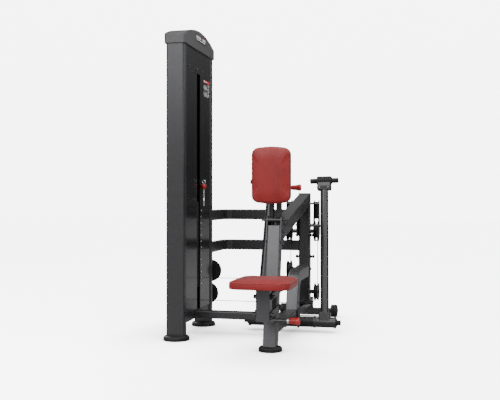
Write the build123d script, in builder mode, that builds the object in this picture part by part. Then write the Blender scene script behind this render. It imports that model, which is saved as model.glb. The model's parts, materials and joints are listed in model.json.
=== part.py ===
"""Seated row machine with a weight tower, two pivoting arms, a seat on a parallelogram and a chest pad.

Frame: the origin is on the floor under the centre of the front leg, +X to the user's right, +Y away from
the user and +Z up. Lengths are in millimetres.
"""
import os
from math import atan2, cos, degrees, radians, sin, tan

from build123d import *

# ---- driving dimensions ------------------------------------------------------------------------------
WALL = 3  # wall of the steel tubes
CORNER = 8  # outer corner radius of the square tubes
TUBE = 80  # side of the main square tubes
FLOOR_GAP = 30  # height of the rubber feet

TOWER_X = -655  # centre plane of the weight tower
TOWER_WIDTH = 120
TOWER_FRONT = 193  # front face of the tower
TOWER_LENGTH = 660
UPRIGHT_DEPTH = 60
TOWER_TOP = 1880  # top of the uprights, where the cap sits
CAP_PEAK = 2010
COVER_BOTTOM = 1728  # lower edge of the upper cover plate
SHROUD_INSET = 6  # how far the side panels lie inside the uprights' faces
SHEET = 3  # thickness of the panels
STACK_GAP = 73  # open slot between the two side panels

BEAM_BOTTOM = 100  # underside of the floor beams
BEAM_TOP = 150
BASE_BEAM_Y = 520  # the beam from the tower to the centre beam
POST_Y = 1250  # centre of the main post
POST_TOP = 937
REAR_Y = 1436  # axle of the rear wheels

PLATE_COUNT = 13
PLATE_PITCH = 41
STACK_BOTTOM = 300.5
ROD_DIAMETER = 20
ROD_SPACING = 220

PULLEY_PITCH = 52  # radius of the cable's centre line round a pulley
PULLEY_OUTER = 58
PULLEY_WIDTH = 18
PULLEY_BORE = 12.1
AXLE = 12  # pulley axles
CABLE = 5

LEAN = (136, 670)  # run and rise of the front leg
PIVOT_Y = 720  # axle of the arms
PIVOT_Z = 66
ARM_X = 222  # arm at the pivot
ARM_RISE = (-32, 210, 884)  # run of the right arm from the pivot to the handle
ARM_TUBE = 56
SLEEVE = 68
SHAFT = 40

SEAT_Y = -176
SEAT_TOP = 443
SEAT_THICK = 48
SEAT_WIDE = 350
SEAT_DEEP = 370
LEG_PIVOT_LOW = (50, 255)  # (y, z) of the seat links' pins on the leg
LINK_RUN = (-236, -15)  # from a leg pin to its pin on the seat post
LINK_SPREAD = (20, 100)  # from the lower leg pin to the upper one
LINK_PIN = 12

PAD_WIDE = 234
PAD_LOW = 865
PAD_HIGH = 1205
PAD_THICK = 60

# ---- derived places ----------------------------------------------------------------------------------
TOWER_BACK = TOWER_FRONT + TOWER_LENGTH
TOWER_RIGHT = TOWER_X + TOWER_WIDTH / 2
TOWER_LEFT = TOWER_X - TOWER_WIDTH / 2
BAY_FRONT = TOWER_FRONT + UPRIGHT_DEPTH
BAY_BACK = TOWER_BACK - UPRIGHT_DEPTH
STACK_Y = (BAY_FRONT + BAY_BACK) / 2 + 3.5
SHROUD_BOTTOM = 156
STACK_TOP = STACK_BOTTOM + PLATE_COUNT * PLATE_PITCH
TOP_PLATE = 40
STEM_TOP = STACK_TOP + TOP_PLATE + 52
TOP_PULLEY_Z = 1800
CABLE_SPREAD = 11.5  # half the distance between the two cables in the tower
CABLE_PLANE_Y = 920  # plane of the two pulleys behind the tower
CABLE_SPLIT_Z = TOP_PULLEY_Z - 10  # where the moving and the guided cable meet
POST_PULLEY_X = 100
POST_PULLEY_Y = 1170
POST_PULLEY_Z = 658
CABLE_Z = {"right": 165, "left": 327}  # height of the two cables along the floor
TOWER_PULLEY_X = {"right": TOWER_X, "left": TOWER_X + 23}
SIDES = {"left": -1, "right": 1}
LEG_TILT = degrees(atan2(LEAN[0], LEAN[1]))
BOOM_TILT = 11.1


def leg_y(z):
    """Depth of the front leg's axis at height z."""
    return 4 + (z - FLOOR_GAP) * LEAN[0] / LEAN[1]


def hollow_run(start, end, width, height, side, wall=WALL, corner=CORNER):
    """A straight rectangular tube with closed ends, its width along the direction called side."""
    run = Vector(*end) - Vector(*start)
    outer_plane = Plane(origin=start, x_dir=side, z_dir=run)
    with BuildSketch(outer_plane) as outside:
        RectangleRounded(width, height, corner)
    extrude(outside.sketch, amount=run.length)
    with BuildSketch(outer_plane.offset(wall)) as inside:
        RectangleRounded(width - 2 * wall, height - 2 * wall, max(corner - wall, 1))
    extrude(inside.sketch, amount=run.length - 2 * wall, mode=Mode.SUBTRACT)


def rod(start, end, diameter, mode=Mode.ADD):
    """A straight round bar from start to end."""
    run = Vector(*end) - Vector(*start)
    with BuildSketch(Plane(origin=start, z_dir=run)) as disc:
        Circle(diameter / 2)
    extrude(disc.sketch, amount=run.length, mode=mode)


def block(low, high, mode=Mode.ADD):
    """A plain block between two opposite corners."""
    centre = tuple((a + b) / 2 for a, b in zip(low, high))
    size = tuple(b - a for a, b in zip(low, high))
    with Locations(centre):
        Box(*size, mode=mode)


def hex_head(centre, direction, across=19, height=8):
    """A hexagonal bolt head or nut standing on the face at centre."""
    with BuildSketch(Plane(origin=centre, z_dir=direction)) as hexagon:
        RegularPolygon(across / 2, 6, major_radius=False)
    extrude(hexagon.sketch, amount=height)


def pulley(centre, axis):
    """A grooved cable pulley with a bored hub."""
    plane = Plane(origin=centre, z_dir=axis)
    half = PULLEY_WIDTH / 2
    section_plane = Plane(origin=centre, x_dir=plane.x_dir, z_dir=-plane.y_dir)
    with BuildSketch(section_plane) as section:
        with BuildLine():
            Polyline(
                (PULLEY_BORE / 2, -half), (20, -half), (22, -half + 4), (40, -half + 4), (42, -half),
                (PULLEY_OUTER, -half), (PULLEY_OUTER, -7), (47.5, -4.5), (47.5, 4.5), (PULLEY_OUTER, 7),
                (PULLEY_OUTER, half), (42, half), (40, half - 4), (22, half - 4), (20, half),
                (PULLEY_BORE / 2, half), close=True,
            )
        make_face()
    revolve(section.sketch, axis=Axis(centre, axis))


def guard_pair(centre, axis, radius, gap, pins):
    """Two discs either side of a pulley, joined by spacer pins at the given angles."""
    for side in (-1, 1):
        near = gap / 2 if side > 0 else -gap / 2 - SHEET
        with BuildSketch(Plane(origin=centre, z_dir=axis).offset(near)) as disc:
            Circle(radius)
            Circle(AXLE / 2, mode=Mode.SUBTRACT)
        extrude(disc.sketch, amount=SHEET)
    for angle in pins:
        with BuildSketch(Plane(origin=centre, z_dir=axis).offset(-gap / 2)) as spacer:
            with PolarLocations(radius - 7, 1, start_angle=angle):
                Circle(4)
        extrude(spacer.sketch, amount=gap)


def flared_grip(start, direction, length, small, large):
    """A round grip that widens towards its free end."""
    plane = Plane(origin=start, z_dir=direction)
    sections = []
    for along, diameter in ((0, small), (length - 8, large), (length, large - 10)):
        with BuildSketch(plane.offset(along)) as ring:
            Circle(diameter / 2)
        sections.append(ring.sketch)
    loft(sections, ruled=True)


# ---- weight tower ------------------------------------------------------------------------------------
with BuildPart() as tower_upright_front:
    front_y = TOWER_FRONT + UPRIGHT_DEPTH / 2
    hollow_run((TOWER_X, front_y, FLOOR_GAP), (TOWER_X, front_y, TOWER_TOP), TOWER_WIDTH, UPRIGHT_DEPTH,
               (1, 0, 0), corner=12)

CHEEK_X = (TOWER_X - 30, TOWER_X + 30)  # outer faces of the two pulley cheeks
CHEEK_Z = (TOP_PULLEY_Z - 62, TOP_PULLEY_Z + 62)

with BuildPart() as tower_upright_rear:
    rear_y = TOWER_BACK - UPRIGHT_DEPTH / 2
    hollow_run((TOWER_X, rear_y, FLOOR_GAP), (TOWER_X, rear_y, TOWER_TOP), TOWER_WIDTH, UPRIGHT_DEPTH,
               (1, 0, 0), corner=12)
    block((CHEEK_X[0], BAY_BACK - 1, CHEEK_Z[0]), (CHEEK_X[1], TOWER_BACK + 1, CHEEK_Z[1]), Mode.SUBTRACT)

with BuildPart() as tower_base_beam:
    hollow_run((TOWER_X, BAY_FRONT, 128), (TOWER_X, BAY_BACK, 128), 100, 56, (1, 0, 0))

with BuildPart() as tower_top_plates:
    for face in (CHEEK_X[0], CHEEK_X[1] - 6):
        block((face, BAY_FRONT, CHEEK_Z[0]), (face + 6, TOWER_BACK + 47, CHEEK_Z[1]))
    for axle_y in (STACK_Y + PULLEY_PITCH, CABLE_PLANE_Y - PULLEY_PITCH):
        rod((CHEEK_X[0], axle_y, TOP_PULLEY_Z), (CHEEK_X[1], axle_y, TOP_PULLEY_Z), AXLE)
    block((TOWER_X - 40, STACK_Y - 150, CHEEK_Z[0] - 8), (TOWER_X + 40, STACK_Y + 150, CHEEK_Z[0]))
    block((TOWER_X - 20, STACK_Y - 20, CHEEK_Z[0] - 9), (TOWER_X + 20, STACK_Y + 20, CHEEK_Z[0] + 1),
          Mode.SUBTRACT)

CAP_OVERHANG = 10
CAP_EDGE = 1940


def cap_side(inset):
    """Arched side outline of the cap, drawn in the plane across the tower."""
    low_y = TOWER_FRONT - CAP_OVERHANG + inset
    high_y = TOWER_BACK + CAP_OVERHANG - inset
    with BuildLine() as outline:
        Polyline((high_y, CAP_EDGE - inset), (high_y, TOWER_TOP + inset), (low_y, TOWER_TOP + inset),
                 (low_y, CAP_EDGE - inset))
        ThreePointArc((low_y, CAP_EDGE - inset), ((low_y + high_y) / 2, CAP_PEAK - inset),
                      (high_y, CAP_EDGE - inset))
    make_face(outline.edges())


with BuildPart() as tower_cap:
    with BuildSketch(Plane.YZ.offset(TOWER_LEFT - CAP_OVERHANG)):
        cap_side(0)
    extrude(amount=TOWER_WIDTH + 2 * CAP_OVERHANG)
    fillet(tower_cap.edges().filter_by(Axis.Z), 14)
    fillet(tower_cap.faces().sort_by(Axis.Z)[-1].edges(), 5)
    with BuildSketch(Plane.YZ.offset(TOWER_LEFT - CAP_OVERHANG + 12)):
        cap_side(12)
    extrude(amount=TOWER_WIDTH + 2 * CAP_OVERHANG - 24, mode=Mode.SUBTRACT)

with BuildPart() as upper_cover:
    block((TOWER_RIGHT - 7, BAY_FRONT, COVER_BOTTOM), (TOWER_RIGHT - 3, BAY_BACK, TOWER_TOP))

PANEL_X = TOWER_RIGHT - SHROUD_INSET  # outer face of the side panels
GAP_FRONT = STACK_Y - STACK_GAP / 2
GAP_BACK = STACK_Y + STACK_GAP / 2

with BuildPart() as front_shroud:
    block((PANEL_X - SHEET, BAY_FRONT, SHROUD_BOTTOM), (PANEL_X, GAP_FRONT, COVER_BOTTOM))
    block((PANEL_X - 4, GAP_FRONT - SHEET, SHROUD_BOTTOM), (PANEL_X - SHEET, GAP_FRONT, COVER_BOTTOM))

with BuildPart() as rear_shroud:
    block((PANEL_X - SHEET, GAP_BACK, SHROUD_BOTTOM), (PANEL_X, BAY_BACK, COVER_BOTTOM))
    block((PANEL_X - 4, GAP_BACK, SHROUD_BOTTOM), (PANEL_X - SHEET, GAP_BACK + SHEET, COVER_BOTTOM))

with BuildPart() as back_shroud:
    block((TOWER_LEFT + SHROUD_INSET, BAY_FRONT, SHROUD_BOTTOM),
          (TOWER_LEFT + SHROUD_INSET + SHEET, BAY_BACK, TOWER_TOP))

PLACARD_Y = (GAP_BACK + 68, BAY_BACK - 8)

with BuildPart() as placard:
    block((PANEL_X, PLACARD_Y[0], 1588), (PANEL_X + 1.5, PLACARD_Y[1], 1713))

with BuildPart() as guide_rods:
    for rod_y in (STACK_Y - ROD_SPACING / 2, STACK_Y + ROD_SPACING / 2):
        rod((TOWER_X, rod_y, SHROUD_BOTTOM), (TOWER_X, rod_y, CHEEK_Z[0] - 8), ROD_DIAMETER)

with BuildPart() as stack_bumpers:
    for rod_y in (STACK_Y - ROD_SPACING / 2, STACK_Y + ROD_SPACING / 2):
        rod((TOWER_X, rod_y, SHROUD_BOTTOM), (TOWER_X, rod_y, STACK_BOTTOM - 0.5), 64)
        rod((TOWER_X, rod_y, SHROUD_BOTTOM), (TOWER_X, rod_y, STACK_BOTTOM - 0.5), ROD_DIAMETER,
            Mode.SUBTRACT)


PLATE_WIDTH = 86
PLATE_LENGTH = 310
ROD_BORE = 22
STEM_BORE = 27
PIN_BORE = 12.5


def stack_blank(bottom, thickness, edge=0.0, pin_hole=False):
    """A slab of the stack, bored for the guide rods and the stem, and across for the selector pin."""
    half_x, half_y = PLATE_WIDTH / 2, PLATE_LENGTH / 2
    with BuildPart(mode=Mode.PRIVATE) as slab:
        block((TOWER_X - half_x, STACK_Y - half_y, bottom),
              (TOWER_X + half_x, STACK_Y + half_y, bottom + thickness))
        if edge:
            chamfer(slab.edges(), edge)
        for bore_y, bore in ((STACK_Y - ROD_SPACING / 2, ROD_BORE), (STACK_Y, STEM_BORE),
                             (STACK_Y + ROD_SPACING / 2, ROD_BORE)):
            rod((TOWER_X, bore_y, bottom - 1), (TOWER_X, bore_y, bottom + thickness + 1), bore,
                Mode.SUBTRACT)
        if pin_hole:
            middle = bottom + thickness / 2
            rod((TOWER_X, STACK_Y, middle), (TOWER_X + half_x + 7, STACK_Y, middle), PIN_BORE,
                Mode.SUBTRACT)
    return slab.part


with BuildPart() as selector_stem:
    rod((TOWER_X, STACK_Y, STACK_BOTTOM + 6), (TOWER_X, STACK_Y, STACK_TOP + TOP_PLATE), 26)
    block((TOWER_X - 24, STACK_Y - 22, STACK_TOP + TOP_PLATE), (TOWER_X + 24, STACK_Y + 22, STEM_TOP))

with BuildPart() as stack_cables:
    for offset in (-CABLE_SPREAD, CABLE_SPREAD):
        rod((TOWER_X + offset, STACK_Y, STEM_TOP), (TOWER_X + offset, STACK_Y, CABLE_SPLIT_Z), CABLE)

# ---- selector pin, parked on the rear side panel -------------------------------------------------------
PIN_Y = STACK_Y + 57
PIN_X = PANEL_X + 19.5

with BuildPart() as selector_pin:
    rod((PIN_X, PIN_Y, 846), (PIN_X, PIN_Y, 961), 11)
    rod((PIN_X, PIN_Y, 961), (PIN_X, PIN_Y, 995), 37)
    with Locations(Location((PIN_X, PIN_Y, 1010), (90, 0, 0))):
        Torus(11, 2.5)
    rod((PIN_X, PIN_Y, 995), (PIN_X, PIN_Y, 999.5), 8)

# ---- floor frame -------------------------------------------------------------------------------------
with BuildPart() as rubber_feet:
    for foot_x, foot_y, diameter in ((TOWER_X, front_y, 170), (TOWER_X, rear_y, 170), (0, 4, 144)):
        with BuildSketch(Plane.XY):
            with Locations((foot_x, foot_y)):
                Circle(diameter / 2)
        extrude(amount=FLOOR_GAP, taper=6)

with BuildPart() as base_beam:
    hollow_run((TOWER_X + 58, BASE_BEAM_Y, 125), (-TUBE / 2, BASE_BEAM_Y, 125), 70, 50, (0, 1, 0))
    block((TOWER_X + 50, BASE_BEAM_Y - 60, BEAM_BOTTOM), (TOWER_X + 58, BASE_BEAM_Y + 60, SHROUD_BOTTOM))

LEG_BACK = Plane(origin=(0, leg_y(125) + TUBE / 2 / cos(radians(LEG_TILT)), 125), x_dir=(1, 0, 0),
                 z_dir=(0, cos(radians(LEG_TILT)), -sin(radians(LEG_TILT))))
BEAM_END = 1400

with BuildPart() as centre_beam:
    hollow_run((0, 60, 125), (0, BEAM_END, 125), TUBE, BEAM_TOP - BEAM_BOTTOM, (1, 0, 0))
    split(bisect_by=LEG_BACK, keep=Keep.TOP)

LEG_TOP = 735

with BuildPart() as front_leg:
    hollow_run((0, leg_y(0), 0), (0, leg_y(LEG_TOP + 40), LEG_TOP + 40), TUBE, TUBE, (1, 0, 0))
    split(bisect_by=Plane.XY.offset(FLOOR_GAP), keep=Keep.TOP)
    split(bisect_by=Plane.XY.offset(LEG_TOP), keep=Keep.BOTTOM)

BOOM_DEEP = 90
POST_FRONT = POST_Y - TUBE / 2
boom_slope = tan(radians(BOOM_TILT))
boom_end_z = POST_TOP - 6 - BOOM_DEEP / 2 / cos(radians(BOOM_TILT))

with BuildPart() as boom:
    hollow_run((0, 100, boom_end_z - (POST_FRONT - 100) * boom_slope),
               (0, POST_FRONT + 60, boom_end_z + 60 * boom_slope), TUBE, BOOM_DEEP, (1, 0, 0))
    split(bisect_by=LEG_BACK, keep=Keep.TOP)
    split(bisect_by=Plane.XZ.offset(-POST_FRONT), keep=Keep.TOP)

with BuildPart() as main_post:
    hollow_run((0, POST_Y, BEAM_TOP), (0, POST_Y, POST_TOP), TUBE, TUBE, (1, 0, 0))

STUB_Z = 365

with BuildPart() as pivot_post:
    with BuildLine() as stub_path:
        FilletPolyline((0, 729, 128), (0, 792, STUB_Z), (0, POST_FRONT, STUB_Z), radius=120)
    with BuildSketch(Plane(origin=stub_path.line @ 0, x_dir=(1, 0, 0), z_dir=stub_path.line % 0)):
        RectangleRounded(TUBE, TUBE, CORNER)
        RectangleRounded(TUBE - 2 * WALL, TUBE - 2 * WALL, CORNER - WALL, mode=Mode.SUBTRACT)
    sweep(path=stub_path.line)
    split(bisect_by=Plane.XY.offset(BEAM_TOP), keep=Keep.TOP)

LINK_X = TOWER_X + 36
LINK_TALL = 76
LINK_THICK = 36
LINK_HEIGHTS = (549, 777)


def link_beam(height):
    """A flat tube that leaves the tower backwards and turns to the main post."""
    with BuildLine() as bend:
        FilletPolyline((LINK_X, TOWER_BACK, height), (LINK_X, POST_Y, height), (-TUBE / 2, POST_Y, height),
                       radius=70)
    with BuildSketch(Plane(origin=bend.line @ 0, x_dir=(0, 0, 1), z_dir=bend.line % 0)) as section:
        RectangleRounded(LINK_TALL, LINK_THICK, CORNER)
        RectangleRounded(LINK_TALL - 2 * WALL, LINK_THICK - 2 * WALL, CORNER - WALL, mode=Mode.SUBTRACT)
    sweep(section.sketch, path=bend.line)


with BuildPart() as link_beams:
    for height in LINK_HEIGHTS:
        link_beam(height)

WHEEL_Z = 45.5
WHEEL_IN = 170.5

with BuildPart() as rear_crossbeam:
    block((-TUBE / 2, BEAM_END, 14), (TUBE / 2, BEAM_END + 8, BEAM_TOP))
    rod((-224, REAR_Y, WHEEL_Z), (224, REAR_Y, WHEEL_Z), 20)
    for side in SIDES.values():
        rod((side * 219, REAR_Y, WHEEL_Z), (side * 224, REAR_Y, WHEEL_Z), 34)
    hollow_run((-WHEEL_IN + 0.5, REAR_Y, 37), (WHEEL_IN - 0.5, REAR_Y, 37), 56, 50, (0, 1, 0))


def wheel(side):
    """A solid rubber wheel at one end of the rear crossbeam."""
    rod((side * WHEEL_IN, REAR_Y, WHEEL_Z), (side * 218.5, REAR_Y, WHEEL_Z), 2 * WHEEL_Z)
    rod((side * (WHEEL_IN - 1), REAR_Y, WHEEL_Z), (side * 220, REAR_Y, WHEEL_Z), 20.1, Mode.SUBTRACT)


with BuildPart() as rear_wheel_left:
    wheel(-1)

with BuildPart() as rear_wheel_right:
    wheel(1)

# ---- brackets and fasteners ----------------------------------------------------------------------------
BRACKET_Y = 150
BRACKET_Z = 704
CROSS_Y = 128
CROSS_Z = 767

with BuildPart() as leg_bracket:
    for face in (-TUBE / 2 - 6, TUBE / 2):
        with BuildSketch(Plane(origin=(face, BRACKET_Y, BRACKET_Z), x_dir=(0, 1, 0), z_dir=(1, 0, 0))):
            with Locations(Location((0, 0, 0), (0, 0, -LEG_TILT))):
                RectangleRounded(100, 165, 14)
        extrude(amount=6)
    rod((-TUBE / 2, CROSS_Y, CROSS_Z), (TUBE / 2, CROSS_Y, CROSS_Z), 30)
    rod((-80, CROSS_Y, CROSS_Z), (80, CROSS_Y, CROSS_Z), 14)

LEG_PIVOT_HIGH = (LEG_PIVOT_LOW[0] + LINK_SPREAD[0], LEG_PIVOT_LOW[1] + LINK_SPREAD[1])
POST_STUDS = (373, 466, 625, 700)
COVER_BOLTS_Y = (BAY_FRONT + 50, BAY_FRONT + 225, BAY_FRONT + 340, BAY_BACK - 12)


def link_stud(side, y, z):
    """A shouldered stud that carries a seat link, with its washer head."""
    rod((side * TUBE / 2, y, z), (side * 50, y, z), LINK_PIN)
    rod((side * 50, y, z), (side * 54, y, z), 24)
    hex_head((side * 54, y, z), (side, 0, 0))


with BuildPart() as frame_bolts:
    for side in SIDES.values():
        for y, z in (LEG_PIVOT_LOW, LEG_PIVOT_HIGH):
            link_stud(side, y, z)
        for y, z in ((120, 660), (150, 700), (195, 745)):
            hex_head((side * 46, y, z), (side, 0, 0))
        for z in POST_STUDS:
            hex_head((side * TUBE / 2, POST_Y + 16, z), (side, 0, 0), 17, 7)
    for y in COVER_BOLTS_Y:
        hex_head((TOWER_RIGHT - 3, y, 1755), (1, 0, 0), 13, 5)
    for y in (BASE_BEAM_Y - 48, BASE_BEAM_Y + 48):
        for z in (113, 143):
            hex_head((TOWER_X + 58, y, z), (1, 0, 0), 13, 6)

TOWER_PULLEY_Z = {name: CABLE_Z[name] + PULLEY_PITCH for name in SIDES}
GUARD_GAP = PULLEY_WIDTH + 4
TURN_X = {"right": POST_PULLEY_X - PULLEY_PITCH, "left": -POST_PULLEY_X - PULLEY_PITCH}
TURN_Y = CABLE_PLANE_Y + PULLEY_PITCH


def post_bracket(side, z, low, high):
    """A plate on the main post's side that carries one pulley axle."""
    inner = TUBE / 2
    edges = sorted((side * inner, side * (inner + 6)))
    block((edges[0], POST_PULLEY_Y - 20, low), (edges[1], POST_Y - 20, high))
    near = POST_PULLEY_X - GUARD_GAP / 2 - SHEET
    far = POST_PULLEY_X + GUARD_GAP / 2 + SHEET
    rod((side * (inner + 6), POST_PULLEY_Y, z), (side * near, POST_PULLEY_Y, z), 30)
    rod((side * near, POST_PULLEY_Y, z), (side * (far + 8), POST_PULLEY_Y, z), AXLE)
    hex_head((side * far, POST_PULLEY_Y, z), (side, 0, 0))


with BuildPart() as pulley_brackets:
    for name, side in SIDES.items():
        post_bracket(side, POST_PULLEY_Z, POST_PULLEY_Z - 30, 870)
        post_bracket(side, CABLE_Z[name] + PULLEY_PITCH, CABLE_Z[name] + 30, CABLE_Z[name] + 78)
        centre = (TOWER_PULLEY_X[name], TOWER_PULLEY_Z[name])
        inner = CABLE_PLANE_Y - GUARD_GAP / 2 - SHEET
        outer = CABLE_PLANE_Y + GUARD_GAP / 2 + SHEET
        rod((centre[0], TOWER_BACK, centre[1]), (centre[0], inner, centre[1]), 30)
        rod((centre[0], inner, centre[1]), (centre[0], outer + 8, centre[1]), AXLE)
        hex_head((centre[0], outer, centre[1]), (0, 1, 0))
    half = PULLEY_WIDTH / 2
    turn_z = CABLE_Z["right"]
    block((-30, TURN_Y - 24, BEAM_TOP), (TURN_X["right"] + 16, TURN_Y + 24, BEAM_TOP + 4))
    rod((TURN_X["right"], TURN_Y, BEAM_TOP + 4), (TURN_X["right"], TURN_Y, turn_z + half + 12), AXLE)
    hex_head((TURN_X["right"], TURN_Y, turn_z + half + 3), (0, 0, 1))
    turn_z = CABLE_Z["left"]
    block((TURN_X["left"] - 16, TURN_Y - 24, turn_z + half + 3), (-TUBE / 2, TURN_Y + 24, turn_z + half + 11))
    rod((TURN_X["left"], TURN_Y, turn_z - half - 12), (TURN_X["left"], TURN_Y, turn_z + half + 5), AXLE)
    hex_head((TURN_X["left"], TURN_Y, turn_z - half - 3), (0, 0, -1))

with BuildPart() as pulley_guards:
    for name, side in SIDES.items():
        tower_centre = (TOWER_PULLEY_X[name], CABLE_PLANE_Y, TOWER_PULLEY_Z[name])
        guard_pair(tower_centre, (0, -1, 0), 78, GUARD_GAP, (15, 75))
        guard_pair((side * POST_PULLEY_X, POST_PULLEY_Y, POST_PULLEY_Z), (1, 0, 0), 75, GUARD_GAP,
                   (170, 190))
        lower = (side * POST_PULLEY_X, POST_PULLEY_Y, CABLE_Z[name] + PULLEY_PITCH)
        guard_pair(lower, (1, 0, 0), 64, GUARD_GAP, ())

# ---- cables and pulleys --------------------------------------------------------------------------------
CABLE_X = {"right": TOWER_X - CABLE_SPREAD, "left": TOWER_X + CABLE_SPREAD}


def cable_route(name, side):
    """One cable from over the stack, down behind the tower and along the floor to the post's top pulley."""
    x = CABLE_X[name]
    low_x = TOWER_PULLEY_X[name] - PULLEY_PITCH
    z = CABLE_Z[name]
    post_x = side * POST_PULLEY_X
    back = POST_PULLEY_Y + PULLEY_PITCH
    top = POST_PULLEY_Z + PULLEY_PITCH
    with BuildLine() as route:
        FilletPolyline(
            (x, STACK_Y, CABLE_SPLIT_Z), (x, STACK_Y, TOP_PULLEY_Z + PULLEY_PITCH),
            (x, CABLE_PLANE_Y, TOP_PULLEY_Z + PULLEY_PITCH), (low_x, CABLE_PLANE_Y, z),
            (post_x, CABLE_PLANE_Y, z), (post_x, back, z), (post_x, back, top),
            (post_x, POST_PULLEY_Y - 10, top), radius=PULLEY_PITCH,
        )
    with BuildSketch(Plane(origin=route.line @ 0, z_dir=route.line % 0)) as section:
        Circle(CABLE / 2)
    sweep(section.sketch, path=route.line)


with BuildPart() as cables:
    for name, side in SIDES.items():
        cable_route(name, side)

with BuildPart() as top_front_pulleys:
    for x in CABLE_X.values():
        pulley((x, STACK_Y + PULLEY_PITCH, TOP_PULLEY_Z), (1, 0, 0))

with BuildPart() as top_rear_pulleys:
    for x in CABLE_X.values():
        pulley((x, CABLE_PLANE_Y - PULLEY_PITCH, TOP_PULLEY_Z), (1, 0, 0))

with BuildPart() as tower_pulley_upper:
    pulley((TOWER_PULLEY_X["left"], CABLE_PLANE_Y, TOWER_PULLEY_Z["left"]), (0, 1, 0))

with BuildPart() as tower_pulley_lower:
    pulley((TOWER_PULLEY_X["right"], CABLE_PLANE_Y, TOWER_PULLEY_Z["right"]), (0, 1, 0))

with BuildPart() as turn_pulley_left:
    pulley((TURN_X["left"], TURN_Y, CABLE_Z["left"]), (0, 0, 1))

with BuildPart() as turn_pulley_right:
    pulley((TURN_X["right"], TURN_Y, CABLE_Z["right"]), (0, 0, 1))

with BuildPart() as post_pulley_left:
    pulley((-POST_PULLEY_X, POST_PULLEY_Y, CABLE_Z["left"] + PULLEY_PITCH), (1, 0, 0))

with BuildPart() as post_pulley_right:
    pulley((POST_PULLEY_X, POST_PULLEY_Y, CABLE_Z["right"] + PULLEY_PITCH), (1, 0, 0))

with BuildPart() as post_upper_pulleys:
    for side in SIDES.values():
        pulley((side * POST_PULLEY_X, POST_PULLEY_Y, POST_PULLEY_Z), (1, 0, 0))

# ---- arms ----------------------------------------------------------------------------------------------
SLEEVE_IN = 148
SLEEVE_OUT = 298

with BuildPart() as pivot_axle:
    rod((-SLEEVE_IN + 0.5, PIVOT_Y, PIVOT_Z), (SLEEVE_IN - 0.5, PIVOT_Y, PIVOT_Z), SLEEVE)
    for side in SIDES.values():
        edges = sorted((side * TUBE / 2, side * (TUBE / 2 + 8)))
        block((edges[0], PIVOT_Y - 42, PIVOT_Z), (edges[1], PIVOT_Y + 42, BEAM_TOP))
        rod((side * TUBE / 2, PIVOT_Y, PIVOT_Z), (side * (TUBE / 2 + 8), PIVOT_Y, PIVOT_Z), 84)
        rod((side * 100, PIVOT_Y, PIVOT_Z), (side * (SLEEVE_OUT + 1), PIVOT_Y, PIVOT_Z), SHAFT)
        rod((side * (SLEEVE_OUT + 1), PIVOT_Y, PIVOT_Z), (side * (SLEEVE_OUT + 7), PIVOT_Y, PIVOT_Z), 52)
        hex_head((side * (SLEEVE_OUT + 7), PIVOT_Y, PIVOT_Z), (side, 0, 0), 30, 24)
    rod((-340, PIVOT_Y, PIVOT_Z), (340, PIVOT_Y, PIVOT_Z), 16, Mode.SUBTRACT)

SADDLE_TOP = 66
TUBE_TOP = 916
HUB_AT = 981
HUB = 66
LUG_AT = 660
LUG_X = 106


def arm_plane(side):
    """Plane at the arm's pivot whose normal runs up the arm."""
    rise = (side * ARM_RISE[0], ARM_RISE[1], ARM_RISE[2])
    return Plane(origin=(side * ARM_X, PIVOT_Y, PIVOT_Z), x_dir=(1, 0, 0), z_dir=rise)


def arm_sleeve(side):
    """The sleeve that turns on the axle, with its collars and the saddle under the arm."""
    rod((side * SLEEVE_IN, PIVOT_Y, PIVOT_Z), (side * SLEEVE_OUT, PIVOT_Y, PIVOT_Z), SLEEVE)
    for collar in (SLEEVE_IN, SLEEVE_OUT - 12):
        rod((side * collar, PIVOT_Y, PIVOT_Z), (side * (collar + 12), PIVOT_Y, PIVOT_Z), SLEEVE + 8)
    with BuildSketch(arm_plane(side)) as saddle:
        RectangleRounded(78, 66, 12)
    extrude(saddle.sketch, amount=SADDLE_TOP)
    rod((side * (SLEEVE_IN - 1), PIVOT_Y, PIVOT_Z), (side * (SLEEVE_OUT + 1), PIVOT_Y, PIVOT_Z),
        SHAFT + 0.1, Mode.SUBTRACT)


def arm_tube(side):
    """The round arm with its cable lug and the cradle for the handle."""
    plane = arm_plane(side)
    with BuildSketch(plane.offset(SADDLE_TOP)) as outside:
        Circle(ARM_TUBE / 2)
    extrude(outside.sketch, amount=TUBE_TOP - SADDLE_TOP)
    with BuildSketch(plane.offset(SADDLE_TOP + WALL)) as inside:
        Circle(ARM_TUBE / 2 - WALL)
    extrude(inside.sketch, amount=TUBE_TOP - SADDLE_TOP - 2 * WALL, mode=Mode.SUBTRACT)
    lug = plane.from_local_coords(Vector(0, 0, LUG_AT))
    rod((lug.X - side * 24, lug.Y, lug.Z), (side * LUG_X, lug.Y, lug.Z), 16)
    rod((side * LUG_X, lug.Y, lug.Z), (side * (LUG_X - 12), lug.Y, lug.Z), 26)
    with BuildSketch(plane.offset(TUBE_TOP)) as cradle:
        RectangleRounded(93, 58, 8)
    extrude(cradle.sketch, amount=50)
    hub_left = plane.from_local_coords(Vector(-80, 0, HUB_AT))
    hub_right = plane.from_local_coords(Vector(80, 0, HUB_AT))
    rod(tuple(hub_left), tuple(hub_right), HUB + 1, Mode.SUBTRACT)


def handle(side):
    """The T-handle: a round hub with a bar through it."""
    plane = arm_plane(side)
    for half_length, diameter in ((54, HUB), (100, 38)):
        left = plane.from_local_coords(Vector(-half_length, 0, HUB_AT))
        right = plane.from_local_coords(Vector(half_length, 0, HUB_AT))
        rod(tuple(left), tuple(right), diameter)


with BuildPart() as arm_sleeve_left:
    arm_sleeve(-1)

with BuildPart() as arm_sleeve_right:
    arm_sleeve(1)

with BuildPart() as arm_tube_left:
    arm_tube(-1)

with BuildPart() as arm_tube_right:
    arm_tube(1)

with BuildPart() as handle_left:
    handle(-1)

with BuildPart() as handle_right:
    handle(1)

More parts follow.
